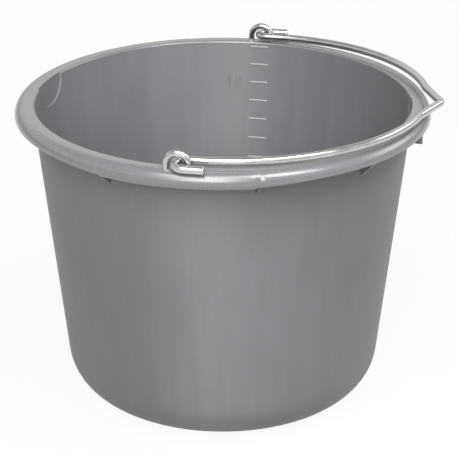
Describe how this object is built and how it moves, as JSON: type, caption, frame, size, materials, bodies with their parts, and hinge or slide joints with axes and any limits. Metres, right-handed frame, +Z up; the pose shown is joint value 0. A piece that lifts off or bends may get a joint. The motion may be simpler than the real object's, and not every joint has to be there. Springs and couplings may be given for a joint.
{
  "type": "bucket",
  "caption": "Round tapered plastic builder's bucket with a rolled, gusseted rim, raised litre marks inside, wire eyes in the rim and a swinging wire bail.",
  "frame": {"origin": "centre of the flat underside of the bucket", "axes": "+Z up along the bucket's axis; the bail swings about Y and lies towards +X at rest"},
  "size_m": [0.3318, 0.3242, 0.2544],
  "materials": {
    "grey_plastic": "satin, finely scuffed moulded polyethylene",
    "zinc_wire": "bright zinc-plated wire"
  },
  "bodies": {
    "bucket": {"bucket_body": "grey_plastic", "rim_eye_front": "zinc_wire", "rim_eye_rear": "zinc_wire"},
    "bail": {"bail_handle": "zinc_wire"}
  },
  "joints": [
    {"name": "bail_hinge", "type": "hinge", "parent": "bucket", "child": "bail", "pos_m": [-0.0018, 0, 0.2442], "axis": [0, -1, 0], "range_deg": [0, 178]}
  ]
}
